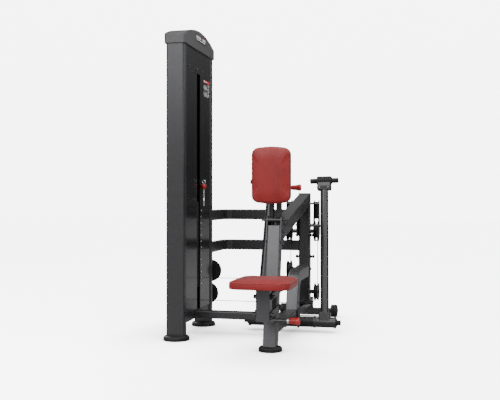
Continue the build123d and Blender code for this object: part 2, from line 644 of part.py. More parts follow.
# ---- seat ----------------------------------------------------------------------------------------------
SEAT_BOTTOM = SEAT_TOP - SEAT_THICK
POST_LOW = 203

with BuildPart() as seat_pad:
    with BuildSketch(Plane.XY.offset(SEAT_BOTTOM)):
        with Locations((0, SEAT_Y)):
            RectangleRounded(SEAT_WIDE, SEAT_DEEP, 42)
    extrude(amount=SEAT_THICK)
    fillet(seat_pad.faces().sort_by(Axis.Z)[-1].edges(), 14)

POST_PIVOT_LOW = (LEG_PIVOT_LOW[0] + LINK_RUN[0], LEG_PIVOT_LOW[1] + LINK_RUN[1])
POST_PIVOT_HIGH = (LEG_PIVOT_HIGH[0] + LINK_RUN[0], LEG_PIVOT_HIGH[1] + LINK_RUN[1])
LEVER_Y = -198
LEVER_Z = 212
LEVER_BAR = 24

with BuildPart() as seat_carriage:
    hollow_run((0, SEAT_Y, POST_LOW), (0, SEAT_Y, SEAT_BOTTOM - 6), TUBE, TUBE, (1, 0, 0))
    with BuildSketch(Plane.XY.offset(SEAT_BOTTOM - 6)):
        with Locations((0, SEAT_Y)):
            RectangleRounded(250, 200, 10)
    extrude(amount=6)
    for side in SIDES.values():
        for y, z in (POST_PIVOT_LOW, POST_PIVOT_HIGH):
            link_stud(side, y, z)
    for y in (LEVER_Y - LEVER_BAR / 2 - 4.5, LEVER_Y + LEVER_BAR / 2 + 0.5):
        block((TUBE / 2 - 1, y, POST_LOW), (66, y + 4, POST_LOW + 13))

LINK_INNER = 42.5
LINK_SHEET = 6
LINK_DEEP = 36


def seat_link(leg_pin, post_bore):
    """A pair of side plates between a leg pin and the matching pin on the seat post."""
    post_pin = (leg_pin[0] + LINK_RUN[0], leg_pin[1] + LINK_RUN[1])
    middle = ((leg_pin[0] + post_pin[0]) / 2, (leg_pin[1] + post_pin[1]) / 2)
    length = (LINK_RUN[0] ** 2 + LINK_RUN[1] ** 2) ** 0.5
    tilt = degrees(atan2(LINK_RUN[1], LINK_RUN[0]))
    for face in (-LINK_INNER - LINK_SHEET, LINK_INNER):
        with BuildSketch(Plane(origin=(face, 0, 0), x_dir=(0, 1, 0), z_dir=(1, 0, 0))) as side_plate:
            with Locations(Location((middle[0], middle[1], 0), (0, 0, tilt))):
                SlotCenterToCenter(length, LINK_DEEP)
            with Locations(leg_pin):
                Circle(LINK_PIN / 2 + 0.05, mode=Mode.SUBTRACT)
            with Locations(post_pin):
                Circle(post_bore / 2, mode=Mode.SUBTRACT)
        extrude(side_plate.sketch, amount=LINK_SHEET)


with BuildPart() as seat_link_upper:
    seat_link(LEG_PIVOT_HIGH, LINK_PIN + 0.1)

with BuildPart() as seat_link_lower:
    seat_link(LEG_PIVOT_LOW, LINK_PIN + 0.8)

with BuildPart() as seat_lever:
    rod((50, LEVER_Y, LEVER_Z), (138, LEVER_Y, LEVER_Z), LEVER_BAR)
    rod((138, LEVER_Y, LEVER_Z), (148, LEVER_Y, LEVER_Z), 28)
    flared_grip((148, LEVER_Y, LEVER_Z), (1, 0, 0), 62, 33, 45)

# ---- chest pad -----------------------------------------------------------------------------------------
HOUSING_Z = 985
HOUSING_Y = (110, 330)
PLATE_Y = PAD_THICK + 6
PAD_LEVER_Z = 966
PAD_LEVER_Y = 200
KNOB_Z = 1000

with BuildPart() as pad_carrier:
    hollow_run((20, 168, LEG_TOP), (20, 168, HOUSING_Z - 30), 30, 40, (1, 0, 0), corner=4)
    rod((-24, 168, LEG_TOP), (-24, 168, HOUSING_Z - 30), 30)
    hollow_run((0, HOUSING_Y[0], HOUSING_Z), (0, HOUSING_Y[1], HOUSING_Z), 90, 60, (1, 0, 0), wall=5, corner=6)
    block((-40, HOUSING_Y[0] - 1, HOUSING_Z - 25), (40, HOUSING_Y[0] + 6, HOUSING_Z + 25), Mode.SUBTRACT)
    block((-40, HOUSING_Y[1] - 6, HOUSING_Z - 25), (40, HOUSING_Y[1] + 1, HOUSING_Z + 25), Mode.SUBTRACT)
    rod((-44, PAD_LEVER_Y, KNOB_Z), (-60, PAD_LEVER_Y, KNOB_Z), 22)
    for y in (PAD_LEVER_Y - 13.5, PAD_LEVER_Y + 9.5):
        block((44, y, PAD_LEVER_Z - 9), (62, y + 4, PAD_LEVER_Z + 9))
    rod((-61, PAD_LEVER_Y, KNOB_Z), (-44.9, PAD_LEVER_Y, KNOB_Z), 10.1, Mode.SUBTRACT)

with BuildPart() as pad_slide:
    hollow_run((0, PLATE_Y, HOUSING_Z), (0, 300, HOUSING_Z), 79.2, 49.2, (1, 0, 0), corner=4)
    with BuildSketch(Plane.XZ.offset(-PAD_THICK - 6)):
        with Locations((0, (PAD_LOW + PAD_HIGH) / 2)):
            RectangleRounded(150, 240, 12)
    extrude(amount=6)

with BuildPart() as pad_lever:
    rod((48, PAD_LEVER_Y, PAD_LEVER_Z), (88, PAD_LEVER_Y, PAD_LEVER_Z), 18)
    flared_grip((88, PAD_LEVER_Y, PAD_LEVER_Z), (1, -0.05, -0.05), 62, 30, 42)

with BuildPart() as pad_knob:
    rod((-45.5, PAD_LEVER_Y, KNOB_Z), (-132, PAD_LEVER_Y, KNOB_Z), 10)
    rod((-132, PAD_LEVER_Y, KNOB_Z), (-166, PAD_LEVER_Y, KNOB_Z), 30)

PAD_ARCH = 12  # how far the top and bottom edges of the chest pad bow out

with BuildPart() as chest_pad:
    with BuildSketch(Plane.XZ.offset(-PAD_THICK)):
        with BuildLine():
            half = PAD_WIDE / 2
            Line((-half, PAD_LOW + PAD_ARCH), (-half, PAD_HIGH - PAD_ARCH))
            ThreePointArc((-half, PAD_HIGH - PAD_ARCH), (0, PAD_HIGH), (half, PAD_HIGH - PAD_ARCH))
            Line((half, PAD_HIGH - PAD_ARCH), (half, PAD_LOW + PAD_ARCH))
            ThreePointArc((half, PAD_LOW + PAD_ARCH), (0, PAD_LOW), (-half, PAD_LOW + PAD_ARCH))
        outline = make_face()
        fillet(outline.vertices(), 28)
    extrude(amount=PAD_THICK)
    fillet(chest_pad.faces().sort_by(Axis.Y)[0].edges(), 14)

# ---- write the pieces ----------------------------------------------------------------------------------
built = {
    "tower_upright_front": tower_upright_front, "tower_upright_rear": tower_upright_rear,
    "tower_base_beam": tower_base_beam, "tower_top_plates": tower_top_plates, "tower_cap": tower_cap,
    "upper_cover": upper_cover, "front_shroud": front_shroud, "rear_shroud": rear_shroud,
    "back_shroud": back_shroud, "placard": placard, "guide_rods": guide_rods,
    "stack_bumpers": stack_bumpers, "rubber_feet": rubber_feet, "base_beam": base_beam,
    "centre_beam": centre_beam, "front_leg": front_leg, "leg_bracket": leg_bracket, "boom": boom,
    "main_post": main_post, "pivot_post": pivot_post, "link_beams": link_beams,
    "rear_crossbeam": rear_crossbeam, "pivot_axle": pivot_axle, "frame_bolts": frame_bolts,
    "pulley_brackets": pulley_brackets, "pulley_guards": pulley_guards, "cables": cables,
    "pad_carrier": pad_carrier, "selector_stem": selector_stem,
    "stack_cables": stack_cables, "selector_pin": selector_pin, "tower_pulley_upper": tower_pulley_upper,
    "tower_pulley_lower": tower_pulley_lower, "top_rear_pulleys": top_rear_pulleys,
    "top_front_pulleys": top_front_pulleys, "turn_pulley_left": turn_pulley_left,
    "turn_pulley_right": turn_pulley_right, "post_pulley_left": post_pulley_left,
    "post_pulley_right": post_pulley_right, "post_upper_pulleys": post_upper_pulleys,
    "rear_wheel_left": rear_wheel_left, "rear_wheel_right": rear_wheel_right,
    "arm_tube_left": arm_tube_left, "arm_tube_right": arm_tube_right, "arm_sleeve_left": arm_sleeve_left,
    "arm_sleeve_right": arm_sleeve_right, "handle_left": handle_left, "handle_right": handle_right,
    "seat_pad": seat_pad, "seat_carriage": seat_carriage, "seat_link_upper": seat_link_upper,
    "seat_link_lower": seat_link_lower, "seat_lever": seat_lever, "chest_pad": chest_pad,
    "pad_slide": pad_slide, "pad_lever": pad_lever, "pad_knob": pad_knob,
}

shapes = {name: piece.part for name, piece in built.items()}
shapes["top_plate"] = stack_blank(STACK_TOP, TOP_PLATE)
shapes["weight_plates"] = Compound(children=[
    stack_blank(STACK_BOTTOM + n * PLATE_PITCH, PLATE_PITCH, edge=2, pin_hole=True)
    for n in range(PLATE_COUNT)
])

os.makedirs("parts", exist_ok=True)
for name, shape in shapes.items():
    shape.label = name
    export_step(shape, f"parts/{name}.step")
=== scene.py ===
"""The looks of the seated row machine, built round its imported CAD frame. Lengths are in metres."""
import json
import math

import bmesh
import bpy
from mathutils import Matrix, Vector


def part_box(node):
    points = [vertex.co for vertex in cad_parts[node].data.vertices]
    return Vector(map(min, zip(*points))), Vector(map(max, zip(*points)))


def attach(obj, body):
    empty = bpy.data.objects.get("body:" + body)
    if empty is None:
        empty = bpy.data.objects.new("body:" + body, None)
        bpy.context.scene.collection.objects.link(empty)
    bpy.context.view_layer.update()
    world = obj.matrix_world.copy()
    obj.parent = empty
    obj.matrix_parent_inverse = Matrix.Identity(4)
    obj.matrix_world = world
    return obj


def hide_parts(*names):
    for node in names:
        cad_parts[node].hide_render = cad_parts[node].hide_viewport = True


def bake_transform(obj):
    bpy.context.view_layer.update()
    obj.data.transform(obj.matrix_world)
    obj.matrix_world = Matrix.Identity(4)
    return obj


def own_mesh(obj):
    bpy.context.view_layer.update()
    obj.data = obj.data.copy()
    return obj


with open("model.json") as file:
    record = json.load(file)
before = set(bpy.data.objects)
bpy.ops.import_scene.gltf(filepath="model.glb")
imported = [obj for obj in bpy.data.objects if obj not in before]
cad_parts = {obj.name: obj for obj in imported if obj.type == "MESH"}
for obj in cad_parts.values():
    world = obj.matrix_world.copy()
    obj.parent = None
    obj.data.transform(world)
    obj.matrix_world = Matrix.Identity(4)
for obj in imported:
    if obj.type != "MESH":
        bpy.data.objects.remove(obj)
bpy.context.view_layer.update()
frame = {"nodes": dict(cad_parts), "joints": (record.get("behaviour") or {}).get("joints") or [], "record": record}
nodes = frame["nodes"]
joints = {joint["name"]: joint for joint in frame["joints"]}
scene = bpy.context.scene

SEGMENTS = 56  # steps round a turned piece
POST_PULLEY_X = 0.1  # how far the post pulleys and the cables over them are from the middle
WELD_RADIUS = 0.0028


# ---- mesh helpers --------------------------------------------------------------------------------------
def new_object(name, mesh, smooth=True):
    """Links a mesh as an object and shades it smooth if asked."""
    obj = bpy.data.objects.new(name, mesh)
    scene.collection.objects.link(obj)
    if smooth:
        mesh.shade_smooth()
    return obj


def mesh_from(work, name):
    """Turns a bmesh into a mesh and frees it."""
    mesh = bpy.data.meshes.new(name)
    work.to_mesh(mesh)
    work.free()
    return mesh


def sharpen(obj):
    """Keeps steep edges sharp on a smooth piece."""
    steep = math.radians(35)
    work = bmesh.new()
    work.from_mesh(obj.data)
    for edge in work.edges:
        if len(edge.link_faces) == 2 and edge.calc_face_angle(0) > steep:
            edge.smooth = False
    work.to_mesh(obj.data)
    work.free()


def basis(direction):
    """Rotation that turns +Z to the direction."""
    return Vector(direction).normalized().to_track_quat("Z", "Y").to_matrix().to_4x4()


def ring_angles(count):
    """Evenly spaced angles once round."""
    return [2 * math.pi * step / count for step in range(count)]


def lathe(name, profile, start, direction, body, segments=SEGMENTS, wave=None):
    """A turned piece: profile is a list of (distance along the axis, radius) from end to end.

    wave, where there is one, gives the share that the radius gains at an angle and a distance.
    """
    place = Matrix.Translation(Vector(start)) @ basis(direction)
    work = bmesh.new()
    rings = []
    for along, radius in profile:
        if radius < 1e-6:
            rings.append([work.verts.new(place @ Vector((0, 0, along)))])
            continue
        ring = []
        for angle in ring_angles(segments):
            reach = radius * (1 + (wave(angle, along) if wave else 0))
            point = Vector((reach * math.cos(angle), reach * math.sin(angle), along))
            ring.append(work.verts.new(place @ point))
        rings.append(ring)
    for low, high in zip(rings, rings[1:]):
        for step in range(segments):
            after = (step + 1) % segments
            corners = list(dict.fromkeys((low[step % len(low)], low[after % len(low)],
                                          high[after % len(high)], high[step % len(high)])))
            if len(corners) > 2:
                work.faces.new(corners)
    bmesh.ops.recalc_face_normals(work, faces=work.faces)
    obj = new_object(name, mesh_from(work, name))
    sharpen(obj)
    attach(obj, body)
    return obj


def rounded_bar(length, radius, edge):
    """Profile of a solid bar with rounded ends, from 0 to length."""
    steps = 5
    turn = [math.pi / 2 * n / steps for n in range(steps + 1)]
    low = [(edge * (1 - math.cos(a)), radius - edge + edge * math.sin(a)) for a in turn]
    high = [(length - along, reach) for along, reach in reversed(low)]
    return [(0, 0)] + low + high + [(length, 0)]


def sweep_tube(name, points, radius, body, closed=False, sides=12):
    """A round tube along points, for weld beads and cables; without a body it rides nothing yet."""
    curve = bpy.data.curves.new(name + "_path", "CURVE")
    curve.dimensions = "3D"
    curve.bevel_depth = radius
    curve.bevel_resolution = sides // 4
    curve.use_fill_caps = not closed
    spline = curve.splines.new("POLY")
    spline.points.add(len(points) - 1)
    for point, place in zip(spline.points, points):
        point.co = (*place, 1)
    spline.use_cyclic_u = closed
    carrier = bpy.data.objects.new(name + "_path", curve)
    scene.collection.objects.link(carrier)
    bpy.context.view_layer.update()
    mesh = bpy.data.meshes.new_from_object(carrier)
    bpy.data.objects.remove(carrier)
    bpy.data.curves.remove(curve)
    obj = new_object(name, mesh)
    if body:
        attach(obj, body)
    return obj


def slab(name, low, high, body, edge=0.0):
    """A thin flat piece between two corners, with softened edges."""
    work = bmesh.new()
    bmesh.ops.create_cube(work, size=1)
    centre = (Vector(low) + Vector(high)) / 2
    size = Vector(high) - Vector(low)
    for vert in work.verts:
        vert.co = Vector([c + s * k for c, s, k in zip(centre, size, vert.co)])
    if edge:
        bmesh.ops.bevel(work, geom=list(work.edges), offset=edge, segments=2, affect="EDGES")
    obj = new_object(name, mesh_from(work, name), smooth=False)
    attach(obj, body)
    return obj


def join(name, parts, body):
    """Makes one piece of several."""
    work = bmesh.new()
    for part in parts:
        part.data.transform(part.matrix_world)
        work.from_mesh(part.data)
        bpy.data.objects.remove(part)
    obj = new_object(name, mesh_from(work, name), smooth=False)
    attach(obj, body)
    return obj


# ---- materials -----------------------------------------------------------------------------------------
class Finish:
    """A principled material with small helpers for its node tree."""

    def __init__(self, name, roughness=0.5, metallic=0.0, **sockets):
        self.material = bpy.data.materials.new(name)
        self.material.use_nodes = True
        self.tree = self.material.node_tree
        self.shader = self.tree.nodes["Principled BSDF"]
        self.shader.inputs["Roughness"].default_value = roughness
        self.shader.inputs["Metallic"].default_value = metallic
        for label, value in sockets.items():
            self.shader.inputs[label.replace("_", " ")].default_value = value
        self.place = self.tree.nodes.new("ShaderNodeTexCoord").outputs["Object"]

    def add(self, kind, links=(), **values):
        """A new node with its inputs set or linked by name."""
        node = self.tree.nodes.new(kind)
        for label, value in values.items():
            setattr(node, label, value)
        for label, source in dict(links).items():
            target = node.inputs[label]
            if isinstance(source, bpy.types.NodeSocket):
                self.tree.links.new(source, target)
            else:
                target.default_value = source
        return node

    def noise(self, scale, detail=3.0):
        """Height of a noise texture."""
        node = self.add("ShaderNodeTexNoise", {"Vector": self.place, "Scale": scale, "Detail": detail})
        return node.outputs["Fac"]

    def ramp(self, source, low, high, start=0.3, end=0.7):
        """A colour that runs from low to high as the source rises."""
        node = self.add("ShaderNodeValToRGB", {"Fac": source})
        node.color_ramp.elements[0].position = start
        node.color_ramp.elements[0].color = (*low, 1)
        node.color_ramp.elements[1].position = end
        node.color_ramp.elements[1].color = (*high, 1)
        return node.outputs["Color"]

    def grey(self, source, low, high):
        """A number that runs from low to high as the source rises."""
        node = self.add("ShaderNodeMapRange", {"Value": source, "To Min": low, "To Max": high})
        return node.outputs["Result"]

    def link(self, source, socket):
        """Feeds a shader input."""
        self.tree.links.new(source, self.shader.inputs[socket])

    def bump(self, height, strength, distance=0.001, normal=None):
        """Adds bump, on top of another's normal if there is one, and returns its normal."""
        links = {"Height": height, "Strength": strength, "Distance": distance}
        if normal is not None:
            links["Normal"] = normal
        node = self.add("ShaderNodeBump", links)
        self.link(node.outputs["Normal"], "Normal")
        return node.outputs["Normal"]


def powder_coat(name, low, high):
    """Graphite powder coat with metallic flake and a faint orange peel."""
    finish = Finish(name, roughness=0.36, metallic=0.55, Coat_Weight=0.25, Coat_Roughness=0.22)
    flake = finish.add("ShaderNodeTexVoronoi", {"Vector": finish.place, "Scale": 2200.0})
    finish.link(finish.ramp(flake.outputs["Distance"], high, low, 0.05, 0.45), "Base Color")
    finish.link(finish.grey(finish.noise(14.0), 0.31, 0.42), "Roughness")
    finish.bump(finish.noise(420.0, 2.0), 0.12, 0.0004)
    return finish.material


def gloss_panel():
    """Near-black lacquered sheet with faint cloudiness."""
    finish = Finish("gloss_panel", roughness=0.2, Coat_Weight=0.3, Coat_Roughness=0.1)
    finish.shader.inputs["Specular IOR Level"].default_value = 0.35
    finish.link(finish.ramp(finish.noise(5.0), (0.008, 0.008, 0.009), (0.012, 0.012, 0.013)), "Base Color")
    finish.link(finish.grey(finish.noise(30.0), 0.16, 0.26), "Roughness")
    finish.bump(finish.noise(9.0), 0.04, 0.002)
    return finish.material


def moulded(name, low, high, roughness, grain=650.0, strength=0.25, specular=0.5):
    """Moulded plastic or rubber with a fine spark-eroded texture."""
    finish = Finish(name, roughness=roughness)
    finish.shader.inputs["Specular IOR Level"].default_value = specular
    finish.link(finish.ramp(finish.noise(24.0), low, high), "Base Color")
    finish.link(finish.grey(finish.noise(60.0), roughness - 0.06, roughness + 0.08), "Roughness")
    finish.bump(finish.noise(grain, 2.0), strength, 0.0005)
    return finish.material


def bright_metal(name, low, high, roughness):
    """Ground or plated steel with fine machining marks."""
    finish = Finish(name, roughness=roughness, metallic=1.0)
    finish.link(finish.ramp(finish.noise(90.0), low, high), "Base Color")
    stretched = finish.add("ShaderNodeMapping", {"Vector": finish.place, "Scale": (40.0, 40.0, 700.0)})
    marks = finish.add("ShaderNodeTexNoise", {"Vector": stretched.outputs["Vector"], "Scale": 3.0})
    finish.link(finish.grey(marks.outputs["Fac"], roughness - 0.05, roughness + 0.12), "Roughness")
    finish.bump(marks.outputs["Fac"], 0.06, 0.0003)
    return finish.material


def vinyl(name, low, high):
    """Upholstery vinyl with an embossed pebble grain, creases and slight colour drift."""
    finish = Finish(name, roughness=0.45, Sheen_Weight=0.05, Sheen_Roughness=0.5)
    finish.shader.inputs["Specular IOR Level"].default_value = 0.35
    drift = finish.add("ShaderNodeMath", {0: finish.noise(7.0), 1: finish.noise(160.0, 4.0)}, operation="ADD")
    finish.link(finish.ramp(drift.outputs["Value"], low, high, 0.55, 1.35), "Base Color")
    pebble = finish.add("ShaderNodeTexVoronoi", {"Vector": finish.place, "Scale": 620.0},
                        feature="SMOOTH_F1").outputs["Distance"]
    finish.link(finish.grey(finish.noise(45.0), 0.38, 0.54), "Roughness")
    creased = finish.bump(finish.noise(26.0, 3.0), 0.18, 0.0016)
    finish.bump(pebble, 0.35, 0.0006, creased)
    return finish.material


def flat_print(name, colour, roughness=0.35):
    """Screen print with a trace of unevenness."""
    finish = Finish(name, roughness=roughness)
    darker = tuple(0.82 * part for part in colour)
    finish.link(finish.ramp(finish.noise(180.0), darker, colour, 0.35, 0.6), "Base Color")
    finish.bump(finish.noise(900.0), 0.05, 0.0002)
    return finish.material


def pale_floor():
    """Studio floor, almost white, that glows to the camera and darkens softly where the machine stands on it, a
    painted contact shadow drawn from ambient occlusion.
    """
    finish = Finish("pale_floor", roughness=0.3)
    finish.link(finish.ramp(finish.noise(0.6), (0.3, 0.3, 0.302), (0.34, 0.34, 0.34)), "Base Color")
    finish.bump(finish.noise(60.0), 0.01, 0.001)
    # ambient occlusion paints the contact shadow into the floor's emission
    shade = finish.add("ShaderNodeAmbientOcclusion", {"Distance": 0.5}, samples=12)
    seen = finish.add("ShaderNodeLightPath").outputs["Is Camera Ray"]
    glow_with_painted_shadow = finish.grey(shade.outputs["AO"], -2.2, 6.0)  # painted contact shadow: below zero only where contact is close
    floor_glow_with_painted_shadow = finish.add("ShaderNodeMath", {0: glow_with_painted_shadow, 1: 0.15}, operation="MAXIMUM").outputs["Value"]
    strength = finish.add("ShaderNodeMath", {0: floor_glow_with_painted_shadow, 1: seen}, operation="MULTIPLY")
    finish.shader.inputs["Emission Color"].default_value = (1, 1, 1, 1)
    finish.link(strength.outputs["Value"], "Emission Strength")
    return finish.material


PAINT = powder_coat("graphite_paint", (0.045, 0.045, 0.048), (0.16, 0.16, 0.165))
# a darker copy of the same graphite paint: painted shade on the tower's uprights and base beams
PAINT_TOWER_PAINTED_SHADE = powder_coat("graphite_paint_tower_painted_shade", (0.026, 0.026, 0.028), (0.085, 0.085, 0.089))
# the darkest copy of the same graphite paint: painted shade on the members set deeper in the frame and on the
# arms, handle bars and weld beads
PAINT_DEEPER_PAINTED_SHADE = powder_coat("graphite_paint_deeper_painted_shade", (0.022, 0.022, 0.024), (0.07, 0.07, 0.073))
PANEL = gloss_panel()
CAP = moulded("cap_plastic", (0.03, 0.03, 0.032), (0.045, 0.045, 0.048), 0.38, grain=500.0, strength=0.15)
BLACK = moulded("black_plastic", (0.006, 0.006, 0.007), (0.012, 0.012, 0.013), 0.4, specular=0.25)
RUBBER = moulded("black_rubber", (0.007, 0.007, 0.007), (0.013, 0.013, 0.013), 0.58,
                  grain=380.0, strength=0.4, specular=0.25)
CAST = moulded("stack_paint", (0.012, 0.012, 0.013), (0.02, 0.02, 0.021), 0.5, grain=240.0, strength=0.6)
GROUND = bright_metal("ground_steel", (0.5, 0.5, 0.5), (0.62, 0.62, 0.63), 0.26)
ZINC = bright_metal("zinc_plate", (0.08, 0.08, 0.085), (0.16, 0.16, 0.165), 0.38)
CHROME = bright_metal("chrome_plate", (0.72, 0.72, 0.74), (0.8, 0.8, 0.82), 0.1)
JACKET = moulded("cable_jacket", (0.03, 0.03, 0.031), (0.06, 0.06, 0.062), 0.3, grain=900.0, strength=0.1)
VINYL = vinyl("red_vinyl", (0.12, 0.0045, 0.0045), (0.21, 0.009, 0.0085))
THREAD = vinyl("red_thread", (0.06, 0.003, 0.003), (0.11, 0.005, 0.005))
GRIP_RED = moulded("red_grip", (0.22, 0.005, 0.005), (0.34, 0.009, 0.008), 0.33, grain=420.0, strength=0.2)
WHITE_INK = flat_print("white_ink", (0.78, 0.78, 0.78))
RED_INK = flat_print("red_ink", (0.62, 0.02, 0.02))
BLACK_INK = flat_print("black_ink", (0.012, 0.012, 0.013), 0.25)

SLOT_FINISH = {
    "frame_paint": PAINT, "panel_gloss": PANEL, "cap_plastic": CAP, "label_print": BLACK_INK,
    "bright_steel": GROUND, "fastener_zinc": ZINC, "rubber": RUBBER, "black_plastic": BLACK,
    "cable_jacket": JACKET, "cast_plates": CAST, "pin_chrome": CHROME, "red_vinyl": VINYL,
    "grip_red": GRIP_RED,
}
NODE_FINISH = {"upper_cover": PANEL, "pivot_axle": BLACK}  # nodes that differ from their slot
# the tower's uprights and base beams take the painted-shade copy of the frame paint
NODE_FINISH |= dict.fromkeys(
    ("tower_upright_front", "tower_upright_rear", "tower_base_beam", "base_beam"), PAINT_TOWER_PAINTED_SHADE)
# these members take the darkest painted-shade copy of the frame paint
NODE_FINISH |= dict.fromkeys(
    ("boom", "main_post", "link_beams", "centre_beam", "arm_tube_left", "arm_tube_right", "pad_carrier",
     "seat_link_upper", "seat_link_lower", "pulley_brackets", "tower_top_plates", "leg_bracket", "pad_slide",
     "arm_sleeve_left", "arm_sleeve_right"), PAINT_DEEPER_PAINTED_SHADE)


def dress(obj, finish):
    """Gives a piece its material."""
    obj.data.materials.clear()
    obj.data.materials.append(finish)
    return obj


for part in frame["record"]["subparts"]:
    shown = nodes[part["node"]]
    shown.data.materials.clear()
    shown.data.materials.append(NODE_FINISH.get(part["node"], SLOT_FINISH[part["material_slot"]]))


def middle(node):
    """Centre of a CAD node's box."""
    low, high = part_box(node)
    return (low + high) / 2


# ---- upholstery ----------------------------------------------------------------------------------------
def rounded_outline(width, height, corner, arch, count=168):
    """Evenly spaced points round a rectangle with round corners and ends that bow out by arch."""
    dense = []
    half_w, half_h = width / 2, height / 2
    corner_steps = 12
    spacing = 0.002  # of the points that the even ones are picked from
    straight_share = 0.6  # the bow fades out over this share of the half height
    for centre_x, centre_y, start in ((half_w - corner, half_h - corner, 0),
                                      (corner - half_w, half_h - corner, 90),
                                      (corner - half_w, corner - half_h, 180),
                                      (half_w - corner, corner - half_h, 270)):
        for step in range(corner_steps + 1):
            angle = math.radians(start + 90 * step / corner_steps)
            dense.append(Vector((centre_x + corner * math.cos(angle), centre_y + corner * math.sin(angle))))
    filled = []
    for here, there in zip(dense, dense[1:] + dense[:1]):
        pieces = max(1, int((there - here).length / spacing))
        filled += [here.lerp(there, n / pieces) for n in range(pieces)]
    for point in filled:
        bow = arch * (1 - (point.x / half_w) ** 2)
        point.y -= math.copysign(arch - bow, point.y) * min(1, abs(point.y) / (half_h * straight_share))
    lengths = [0.0]
    for here, there in zip(filled, filled[1:] + filled[:1]):
        lengths.append(lengths[-1] + (there - here).length)
    outline = []
    index = 0
    for step in range(count):
        target = lengths[-1] * step / count
        while lengths[index + 1] < target:
            index += 1
        share = (target - lengths[index]) / (lengths[index + 1] - lengths[index])
        outline.append(filled[index].lerp(filled[(index + 1) % len(filled)], share))
    return outline


def inset_outline(outline, distance):
    """The outline moved inwards along its own normals."""
    moved = []
    for index, point in enumerate(outline):
        along = outline[(index + 1) % len(outline)] - outline[index - 1]
        inward = Vector((-along.y, along.x)).normalized()
        moved.append(point + inward * distance)
    return moved


def cushion(name, outline, thick, place, body, node, swell, shoulder):
    """A stuffed pad: wrapped front, side band with a seam, and a flat back, blown up as cloth.

    shoulder holds the radius of the front's edge, then how far a slope inside it reaches in and up.
    """
    edge, slope_in, slope_up = shoulder
    crown_height = 0.0015
    seam_depth, seam_half, seam_drop = 0.0022, 0.0035, 0.003
    band_top = thick - slope_up
    seam_at = band_top - edge - seam_drop
    # Each level is (distance in from the outline, height above the back).
    levels = [(0.004, 0.0), (0.0005, 0.003), (0.0, thick * 0.3), (0.0, seam_at - seam_half),
              (seam_depth, seam_at), (0.0, seam_at + seam_half)]
    band_levels = len(levels)
    edge_steps = 6
    for step in range(edge_steps + 1):
        angle = math.pi / 2 * step / edge_steps
        levels.append((0.0005 + edge * (1 - math.cos(angle)), band_top - edge + edge * math.sin(angle)))
    if slope_up:
        for inward, upward in ((0.25, 0.3), (0.5, 0.56), (0.75, 0.8), (0.92, 0.95), (1.0, 1.0)):
            levels.append((edge + slope_in * inward, band_top + slope_up * upward))
    work = bmesh.new()
    count = len(outline)
    rings = []
    back_rings = (0.15, 0.5, 0.8)
    base = inset_outline(outline, levels[0][0])
    for share in back_rings:
        rings.append([work.verts.new((*(point * share), 0.0)) for point in base])
    for inset, height in levels:
        rings.append([work.verts.new((*point, height)) for point in inset_outline(outline, inset)])
    front = inset_outline(outline, levels[-1][0])
    panel_steps = 17
    for step in range(1, panel_steps):
        share = 1 - step / panel_steps
        crown = crown_height * (1 - share * share)
        rings.append([work.verts.new((*(point * share), thick + crown)) for point in front])
    for low, high in zip(rings, rings[1:]):
        for step in range(count):
            after = (step + 1) % count
            work.faces.new((low[step], low[after], high[after], high[step]))
    work.faces.new(list(reversed(rings[0])))
    tip = work.verts.new((0, 0, thick + crown_height))
    for step in range(count):
        work.faces.new((rings[-1][step], rings[-1][(step + 1) % count], tip))
    bmesh.ops.recalc_face_normals(work, faces=work.faces)
    work.verts.index_update()
    held = [vert.index for ring in rings[:len(back_rings) + band_levels] for vert in ring]
    mesh = mesh_from(work, name)
    pad = new_object(name, mesh)
    group = pad.vertex_groups.new(name="held")
    group.add(held, 1.0, "REPLACE")
    blow_up(pad, swell)
    mesh.transform(place)
    subdivide = pad.modifiers.new("soft", "SUBSURF")
    subdivide.levels = 1
    subdivide.render_levels = 1
    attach(pad, body)
    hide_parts(node)
    dress(pad, VINYL)
    proud, above_seam = 0.0004, 0.0042
    stitch_row(name + "_stitches", inset_outline(outline, -proud), seam_at + above_seam, place, body)
    return pad


def blow_up(pad, cap):
    """Cloth pressure on the front panel, with each point's move capped and the creases evened out."""
    last_frame = 20
    smoothing_passes = 12
    rest = [vert.co.copy() for vert in pad.data.vertices]
    cloth = pad.modifiers.new("cloth", "CLOTH")
    settings = cloth.settings
    settings.use_pressure = True
    settings.uniform_pressure_force = 4.0
    settings.vertex_group_mass = "held"
    settings.effector_weights.gravity = 0
    settings.quality = 5
    settings.tension_stiffness = 25
    settings.bending_stiffness = 2
    cloth.point_cache.frame_start = 1
    cloth.point_cache.frame_end = last_frame
    for step in range(1, last_frame + 1):
        scene.frame_set(step)
    blown = pad.evaluated_get(bpy.context.evaluated_depsgraph_get()).to_mesh()
    moved = [vert.co.copy() for vert in blown.vertices]
    pad.modifiers.remove(cloth)
    scene.frame_set(1)
    shifts = []
    for before, after in zip(rest, moved):
        shift = after - before
        shifts.append(shift * min(1, cap / max(shift.length, 1e-9)))
    held = {vert.index for vert in pad.data.vertices if vert.groups}
    neighbours = [[] for _ in shifts]
    for edge in pad.data.edges:
        first, second = edge.vertices
        neighbours[first].append(second)
        neighbours[second].append(first)
    for _ in range(smoothing_passes):
        shifts = [shift if index in held else
                  sum((shifts[other] for other in neighbours[index]), shift) / (len(neighbours[index]) + 1)
                  for index, shift in enumerate(shifts)]
    for vert, before, shift in zip(pad.data.vertices, rest, shifts):
        vert.co = before + shift


